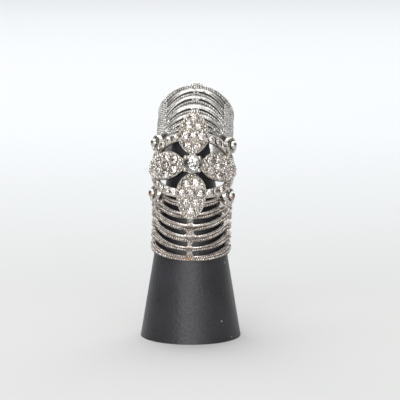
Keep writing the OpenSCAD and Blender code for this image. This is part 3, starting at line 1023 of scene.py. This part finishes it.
# Small grains on the lower ring's bridges: slot, across from the middle, height from the slot's middle, radius.
bridgeSink = 0.14
bridgeGrains = [
    (1, -0.3, 0.4, 0.3), (1, 0.25, 0.15, 0.26), (1, -0.2, -0.3, 0.28), (1, 0.3, -0.45, 0.26), (2, -0.6, 0.3, 0.3),
    (2, 0.1, 0.45, 0.26), (2, 0.55, 0, 0.3), (2, -0.3, -0.35, 0.3), (2, 0.4, -0.55, 0.28), (3, -0.15, 0.3, 0.3),
    (3, 0.2, -0.3, 0.28), (4, -0.2, 0.25, 0.3), (4, 0.25, -0.25, 0.28),
]
bridgePlaces = [(Vector((x, -lowerLines.radius + bridgeSink, lowerLines.slot(k, 0) + z)), outward(0), r, 0)
                for k, x, z, r in bridgeGrains]
setBeads("lowerNubs", nubPlaces(lowerLines, nub["lowerSlots"]) + bridgePlaces, ringFrame, "base")
setBeads("upperNubs", nubPlaces(upperLines, nub["upperSlots"]) + crestPlaces, upperFrame, "tip")

# Hinge pins: a ball outside, a shank through the lug and ear, and a flat head inside.
pin = {
    "ball": 1.15, "ballAt": 10.1,
    "flat": 0.5,  # half width of the flat worn on the ball's end
    "neck": 0.5, "head": 0.9, "headFrom": 7.6, "headTo": 8.05, "edge": 0.08,
    "backEdge": (0.1, 0.15),  # along the pin, across it
    "rings": 14, "sides": 36,
}


def addPin(shape, side, z):
    p = pin
    start = asin(p["flat"] / p["ball"])
    reach = pi - asin(p["neck"] / p["ball"]) - start
    ball = [start + reach * i / p["rings"] for i in range(p["rings"] + 1)]
    profile = [(p["ballAt"] + p["ball"] * cos(a), p["ball"] * sin(a)) for a in ball]
    first, last, head, edge = p["headFrom"], p["headTo"], p["head"], p["edge"]
    along, across = p["backEdge"]
    profile += [(last, p["neck"]), (last, head - edge), (last - edge, head), (first + along, head),
                (first, head - across)]
    shape.add(*turned((0, hingeY, z), (side, 0, 0), profile[::-1], p["sides"]), 0)


for name, lines, place, body in cages:
    pins = Shape()
    for side in (-1, 1):
        addPin(pins, side, hingeZ)
    makePiece(name + "Pins", pins, place, platedPins, body, "pin_metal", [name + "_pin_left", name + "_pin_right"], 30)

# The CAD's own cone keeps its shape.
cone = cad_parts["stand"]
cone.data.materials.clear()
cone.data.materials.append(satinBlack)
print("object finished")

# Stage: matt white paper without gloss, with painted shade that greys it towards the camera.
paper = {
    # distance back from the ring's axis, colour with painted shade
    "shadedTones": [(60, "#c7c7c5"), (210, "#cfd0d0"), (420, "#dadbdd"), (1100, "#e8e9eb")],
    "halfWidth": 2500, "rough": 0.9, "specular": 0.1,
}
material, add, place = newMaterial("paperSweep")
back = add("SeparateXYZ", [place], output="Y")
layers = [(add("MapRange", [back, first * mm, last * mm]), code)
          for (first, before), (last, code) in zip(paper["shadedTones"], paper["shadedTones"][1:])]
tone = layColours(add, paper["shadedTones"][0][1], layers)
endMaterial(material, tone, paper["rough"], {"Specular IOR Level": paper["specular"]})
half = paper["halfWidth"] * mm
floor = newMesh("floor", [(-half, -half, 0), (half, -half, 0), (half, half, 0), (-half, half, 0)], [(0, 1, 2, 3)])
floor.materials.append(material)
addObject("floor", floor)

# Lights, in metres: four soft boxes, and two small lamps for sparkle. Each: place, size, watts.
lights = {
    "topBox": ((-0.32, 0.1, 0.95), (0.8, 0.8), 3),
    "frontBox": ((-0.03, -1, 0.21), (0.9, 0.3), 3.5),
    "highBox": ((-0.15, -0.7, 0.75), (0.5, 0.3), 1.1),
    "backBox": ((0, 0.75, 1), (1.4, 0.9), 4.7),
    "leftLamp": ((-0.45, -0.7, 0.5), (0.08, 0.08), 0.25),
    "rightLamp": ((0.4, -0.8, 0.6), (0.08, 0.08), 0.25),
}
lightAim = Vector((0, 0, 0.04))
for name, (at, size, watts) in lights.items():
    data = bpy.data.lights.new(name, "AREA")
    data.shape = "RECTANGLE"
    data.size, data.size_y = size
    data.energy = watts
    lamp = addObject(name, data)
    lamp.location = at
    lamp.rotation_euler = (lightAim - lamp.location).to_track_quat("-Z", "Y").to_euler()

# The room: white above and straight behind the ring, bright on the camera's side, dark at both sides.
room = {
    "dark": 0.2, "front": 0.95, "white": 1.75, "lowTint": "#e8e7e6", "highTint": "#e4e7ea",
    # where each part begins and where it is full, by the direction of view
    "behind": (0, 0.4), "sides": (0.4, 0.75), "above": (0.73, 0.93), "ahead": (-0.5, -0.85), "tinted": (0.2, 0.9),
}
world = bpy.data.worlds.new("room")
bpy.context.scene.world = world
world.use_nodes = True
world.node_tree.nodes.clear()
add = partial(addNode, world.node_tree)
view = add("SeparateXYZ", [add("TexCoord", output="Generated")]).node.outputs
aside = add("Math", [view["X"]], operation="ABSOLUTE")
back = add("MapRange", [view["Y"], *room["behind"]])
narrow = add("MapRange", [aside, *room["sides"], 1, 0])
behind = add("Math", [back, narrow], operation="MULTIPLY")
tone = add("MapRange", [behind, 0, 1, room["dark"], room["white"]])
for direction, reach, brightness in (("Z", room["above"], room["white"]), ("Y", room["ahead"], room["front"])):
    part = add("MapRange", [view[direction], *reach, room["dark"], brightness])
    tone = add("Math", [tone, part], operation="MAXIMUM")
tint = add("MapRange", [view["Z"], *room["tinted"]])
tint = layColours(add, room["lowTint"], [(tint, room["highTint"])])
glow = add("Background", {"Color": tint, "Strength": tone})
add("OutputWorld", {"Surface": glow})
bpy.context.scene.view_settings.view_transform = "Standard"
print("stage and lights set")
